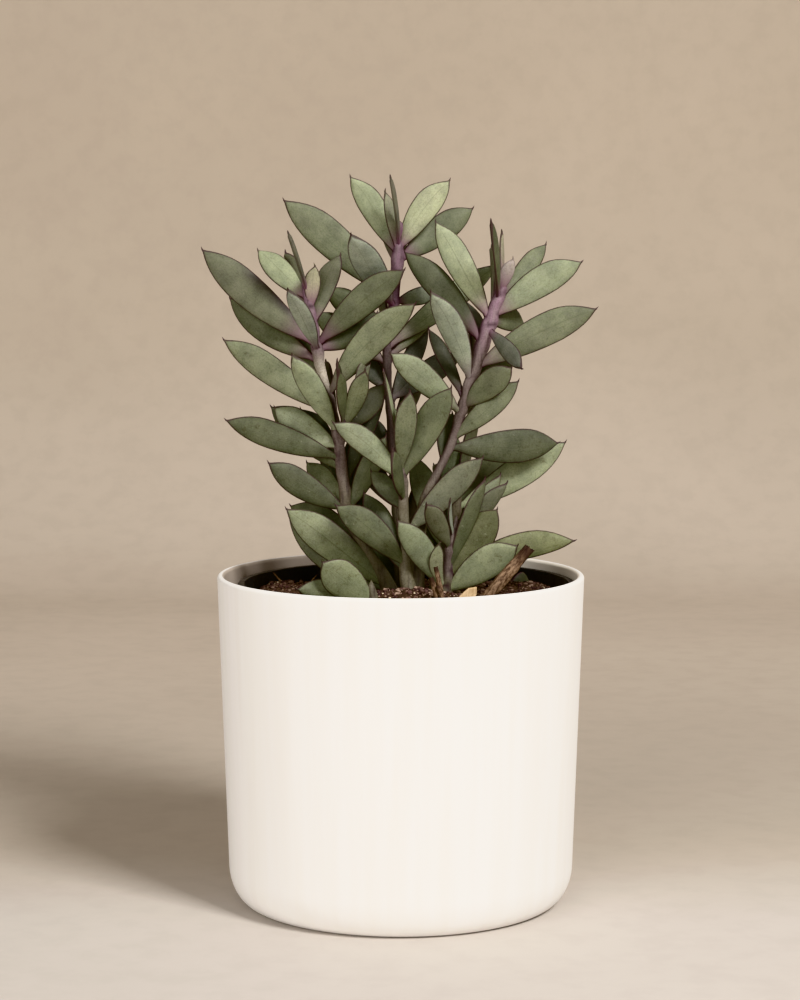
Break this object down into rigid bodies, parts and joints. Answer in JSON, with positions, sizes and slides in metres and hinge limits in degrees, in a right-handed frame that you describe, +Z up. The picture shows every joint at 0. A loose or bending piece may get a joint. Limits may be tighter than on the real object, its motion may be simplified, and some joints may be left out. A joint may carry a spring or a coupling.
{
  "type": "potted succulent plant",
  "caption": "Bushy upright vertical-leaf senecio with grey-green, purple-edged leaves, in a grower pot inside a plain round white cover pot.",
  "frame": {"origin": "middle of the cover pot's flat underside", "axes": "+Z up, -Y towards the front of the plant, +X to its right"},
  "size_m": [0.1495, 0.14, 0.2785],
  "materials": {
    "cover_pot": "satin white glaze",
    "grower_pot": "thin moulded black plastic",
    "soil": "loose dark potting soil",
    "leaf": "fleshy grey-green leaf with a waxy bloom and a purple edge",
    "bark": "rough dry bark",
    "wood_chip": "pale split wood"
  },
  "bodies": {
    "root": {"cover_pot": "cover_pot", "grower_pot": "grower_pot", "soil": "soil", "left_stem": "leaf", "centre_stem": "leaf", "right_stem": "leaf", "back_stem": "leaf", "front_stem": "leaf", "low_shoot": "leaf", "right_shoot": "leaf", "bark_stick": "bark", "twig": "bark", "wood_chip": "wood_chip", "shed_leaf": "leaf"}
  },
  "joints": []
}
